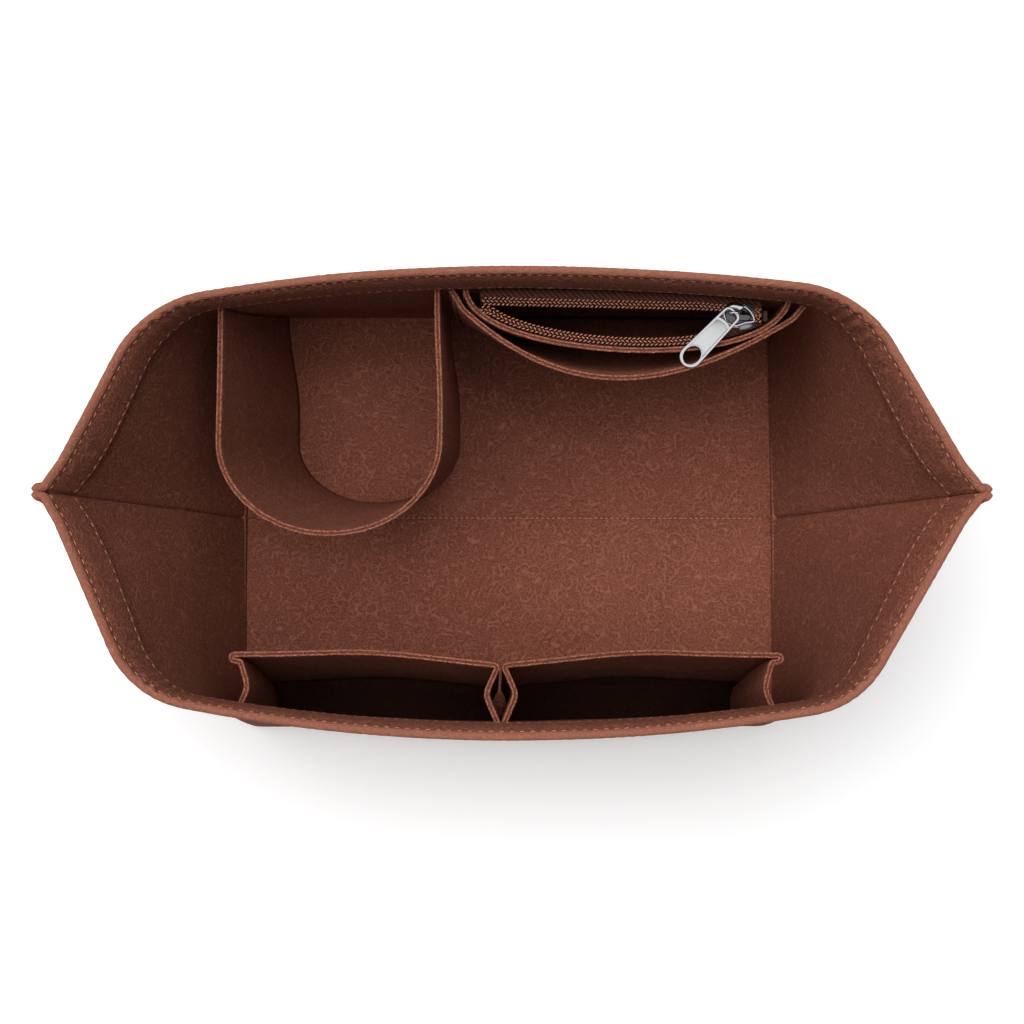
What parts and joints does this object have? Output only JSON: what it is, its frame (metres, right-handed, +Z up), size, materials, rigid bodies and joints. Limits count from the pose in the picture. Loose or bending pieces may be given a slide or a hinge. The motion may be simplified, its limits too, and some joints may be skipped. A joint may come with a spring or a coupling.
{
  "type": "purse organizer insert",
  "caption": "Open felt organizer insert for a handbag, with a bottle pocket, a zip pocket behind a slip pocket, and a pair of front pockets.",
  "frame": {"origin": "on the floor, under the middle of the base", "axes": "+X along the length to the user's right, +Y towards the back wall with the zip pocket, +Z up"},
  "size_m": [0.37, 0.1944, 0.14],
  "materials": {
    "felt": "matt needle-punched felt",
    "tape": "woven tape",
    "coil": "satin nylon",
    "plated_metal": "bright nickel plating"
  },
  "bodies": {
    "organizer": {"front_body_panel": "felt", "back_body_panel": "felt", "bottle_pocket_wall": "felt", "zip_pocket_panel": "felt", "slip_pocket_panel": "felt", "front_pocket_left": "felt", "front_pocket_right": "felt", "zip_coil_back": "coil", "zip_coil_front": "coil", "zip_tape_back": "tape", "zip_tape_front": "tape", "zip_bottom_stop": "coil"},
    "slider": {"slider_body": "plated_metal", "slider_bail": "plated_metal"},
    "pull": {"pull_tab": "plated_metal"}
  },
  "joints": [
    {"name": "zip_slide", "type": "slide", "parent": "organizer", "child": "slider", "axis": [-0.9998, 0.0209, 0], "range_m": [0, 0.08], "deforming": ["zip_coil_back", "zip_coil_front", "zip_tape_back", "zip_tape_front"]},
    {"name": "pull_swing", "type": "hinge", "parent": "slider", "child": "pull", "pos_m": [0.08859, 0.07424, 0.1211], "axis": [-0.7169, 0.6972, 0], "range_deg": [0, 75]}
  ]
}
